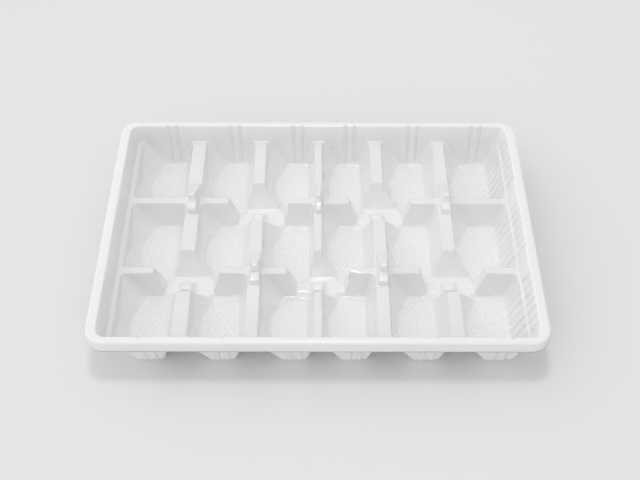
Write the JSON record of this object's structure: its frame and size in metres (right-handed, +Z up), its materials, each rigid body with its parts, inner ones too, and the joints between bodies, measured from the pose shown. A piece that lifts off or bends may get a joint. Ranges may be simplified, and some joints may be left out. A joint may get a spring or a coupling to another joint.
{
  "type": "thermoformed plastic tray",
  "caption": "Shallow white thermoformed tray with a raised rim, sloping scooped cells, narrow ribs with open saddles and stepped pegs at the crossings.",
  "frame": {"origin": "middle of the tray, on the plane of the cells' undersides, which it stands on", "axes": "+X along the long side, with the scooped ends of the cells towards -X; +Y along the short side, away from the viewer of the picture; +Z up"},
  "size_m": [0.2416, 0.1592, 0.0305],
  "materials": {
    "sheet": "white, satin to semi-gloss, as formed"
  },
  "bodies": {
    "root": {"tray": "sheet"}
  },
  "joints": []
}
